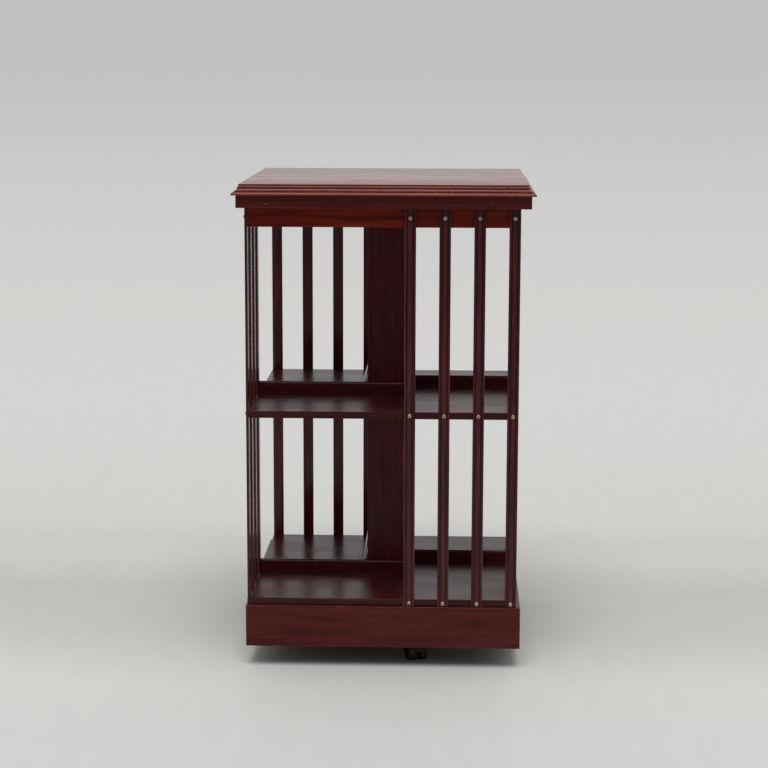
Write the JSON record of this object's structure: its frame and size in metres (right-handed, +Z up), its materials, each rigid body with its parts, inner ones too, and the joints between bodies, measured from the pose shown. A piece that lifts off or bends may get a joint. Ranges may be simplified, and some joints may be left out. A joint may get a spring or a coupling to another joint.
{
  "type": "revolving bookcase",
  "caption": "Square two-tier revolving bookcase in stained mahogany: reeded slats in pinwheel order round a column, moulded top, turning over a castered cross base.",
  "frame": {"origin": "on the floor under the turning axis, at the centre of the square plan", "axes": "+Z up along the spindle, -Y out of the front, +X to the right as seen from the front"},
  "size_m": [0.5, 0.5, 0.82],
  "materials": {
    "mahogany_top": "mahogany stain under gloss lacquer",
    "mahogany_case": "mahogany stain under gloss lacquer",
    "mahogany_shelves": "mahogany stain under gloss lacquer",
    "mahogany_frieze": "mahogany stain under gloss lacquer",
    "mahogany_plinth": "mahogany stain under gloss lacquer",
    "mahogany_column": "mahogany stain under gloss lacquer",
    "mahogany_slats": "mahogany stain under gloss lacquer",
    "brass": "lightly tarnished",
    "bush_brass": "turned",
    "beech": "unfinished",
    "stained_beech": "dark stain",
    "steel": "bright",
    "nylon": "natural",
    "caster_black": "moulded, semi-matt"
  },
  "bodies": {
    "base": {"base_arm_long": "stained_beech", "base_arm_cross": "stained_beech", "spindle": "steel", "thrust_washer": "nylon", "base_screws": "steel", "caster_plates": "steel"},
    "case": {"top_board": "mahogany_top", "sub_top": "mahogany_case", "mid_shelf": "mahogany_shelves", "bottom_shelf": "mahogany_shelves", "column_board_front": "mahogany_column", "book_stops_front": "mahogany_shelves", "frieze_front": "mahogany_frieze", "plinth_front": "mahogany_plinth", "slat_front_1": "mahogany_slats", "slat_front_2": "mahogany_slats", "slat_front_3": "mahogany_slats", "slat_front_4": "mahogany_slats", "column_board_right": "mahogany_column", "book_stops_right": "mahogany_shelves", "frieze_right": "mahogany_frieze", "plinth_right": "mahogany_plinth", "slat_right_1": "mahogany_slats", "slat_right_2": "mahogany_slats", "slat_right_3": "mahogany_slats", "slat_right_4": "mahogany_slats", "column_board_back": "mahogany_column", "book_stops_back": "mahogany_shelves", "frieze_back": "mahogany_frieze", "plinth_back": "mahogany_plinth", "slat_back_1": "mahogany_slats", "slat_back_2": "mahogany_slats", "slat_back_3": "mahogany_slats", "slat_back_4": "mahogany_slats", "column_board_left": "mahogany_column", "book_stops_left": "mahogany_shelves", "frieze_left": "mahogany_frieze", "plinth_left": "mahogany_plinth", "slat_left_1": "mahogany_slats", "slat_left_2": "mahogany_slats", "slat_left_3": "mahogany_slats", "slat_left_4": "mahogany_slats", "slat_screws": "brass", "glue_blocks": "beech", "bearing_block": "beech", "bearing_block_screws": "steel", "lower_bush": "bush_brass", "top_bush": "bush_brass"},
    "caster_1": {"caster_hood_1": "caster_black"},
    "wheel_1_left": {"caster_wheel_1_left": "caster_black"},
    "wheel_1_right": {"caster_wheel_1_right": "caster_black"},
    "caster_2": {"caster_hood_2": "caster_black"},
    "wheel_2_left": {"caster_wheel_2_left": "caster_black"},
    "wheel_2_right": {"caster_wheel_2_right": "caster_black"},
    "caster_3": {"caster_hood_3": "caster_black"},
    "wheel_3_left": {"caster_wheel_3_left": "caster_black"},
    "wheel_3_right": {"caster_wheel_3_right": "caster_black"},
    "caster_4": {"caster_hood_4": "caster_black"},
    "wheel_4_left": {"caster_wheel_4_left": "caster_black"},
    "wheel_4_right": {"caster_wheel_4_right": "caster_black"}
  },
  "joints": [
    {"name": "case_turn", "type": "hinge", "parent": "base", "child": "case", "pos_m": [0, 0, 0.088], "axis": [0, 0, 1], "continuous": true},
    {"name": "swivel_1", "type": "hinge", "parent": "base", "child": "caster_1", "pos_m": [0.04912, -0.16066, 0.045], "axis": [0, 0, 1], "continuous": true},
    {"name": "roll_1_left", "type": "hinge", "parent": "caster_1", "child": "wheel_1_left", "pos_m": [0.05555, -0.1817, 0.019], "axis": [-0.9563, -0.2924, 0], "continuous": true},
    {"name": "roll_1_right", "type": "hinge", "parent": "caster_1", "child": "wheel_1_right", "pos_m": [0.05555, -0.1817, 0.019], "axis": [-0.9563, -0.2924, 0], "continuous": true},
    {"name": "swivel_2", "type": "hinge", "parent": "base", "child": "caster_2", "pos_m": [0.16066, 0.04912, 0.045], "axis": [0, 0, 1], "continuous": true},
    {"name": "roll_2_left", "type": "hinge", "parent": "caster_2", "child": "wheel_2_left", "pos_m": [0.1817, 0.05555, 0.019], "axis": [0.2924, -0.9563, 0], "continuous": true},
    {"name": "roll_2_right", "type": "hinge", "parent": "caster_2", "child": "wheel_2_right", "pos_m": [0.1817, 0.05555, 0.019], "axis": [0.2924, -0.9563, 0], "continuous": true},
    {"name": "swivel_3", "type": "hinge", "parent": "base", "child": "caster_3", "pos_m": [-0.04912, 0.16066, 0.045], "axis": [0, 0, 1], "continuous": true},
    {"name": "roll_3_left", "type": "hinge", "parent": "caster_3", "child": "wheel_3_left", "pos_m": [-0.05555, 0.1817, 0.019], "axis": [0.9563, 0.2924, 0], "continuous": true},
    {"name": "roll_3_right", "type": "hinge", "parent": "caster_3", "child": "wheel_3_right", "pos_m": [-0.05555, 0.1817, 0.019], "axis": [0.9563, 0.2924, 0], "continuous": true},
    {"name": "swivel_4", "type": "hinge", "parent": "base", "child": "caster_4", "pos_m": [-0.16066, -0.04912, 0.045], "axis": [0, 0, 1], "continuous": true},
    {"name": "roll_4_left", "type": "hinge", "parent": "caster_4", "child": "wheel_4_left", "pos_m": [-0.1817, -0.05555, 0.019], "axis": [-0.2924, 0.9563, 0], "continuous": true},
    {"name": "roll_4_right", "type": "hinge", "parent": "caster_4", "child": "wheel_4_right", "pos_m": [-0.1817, -0.05555, 0.019], "axis": [-0.2924, 0.9563, 0], "continuous": true}
  ]
}
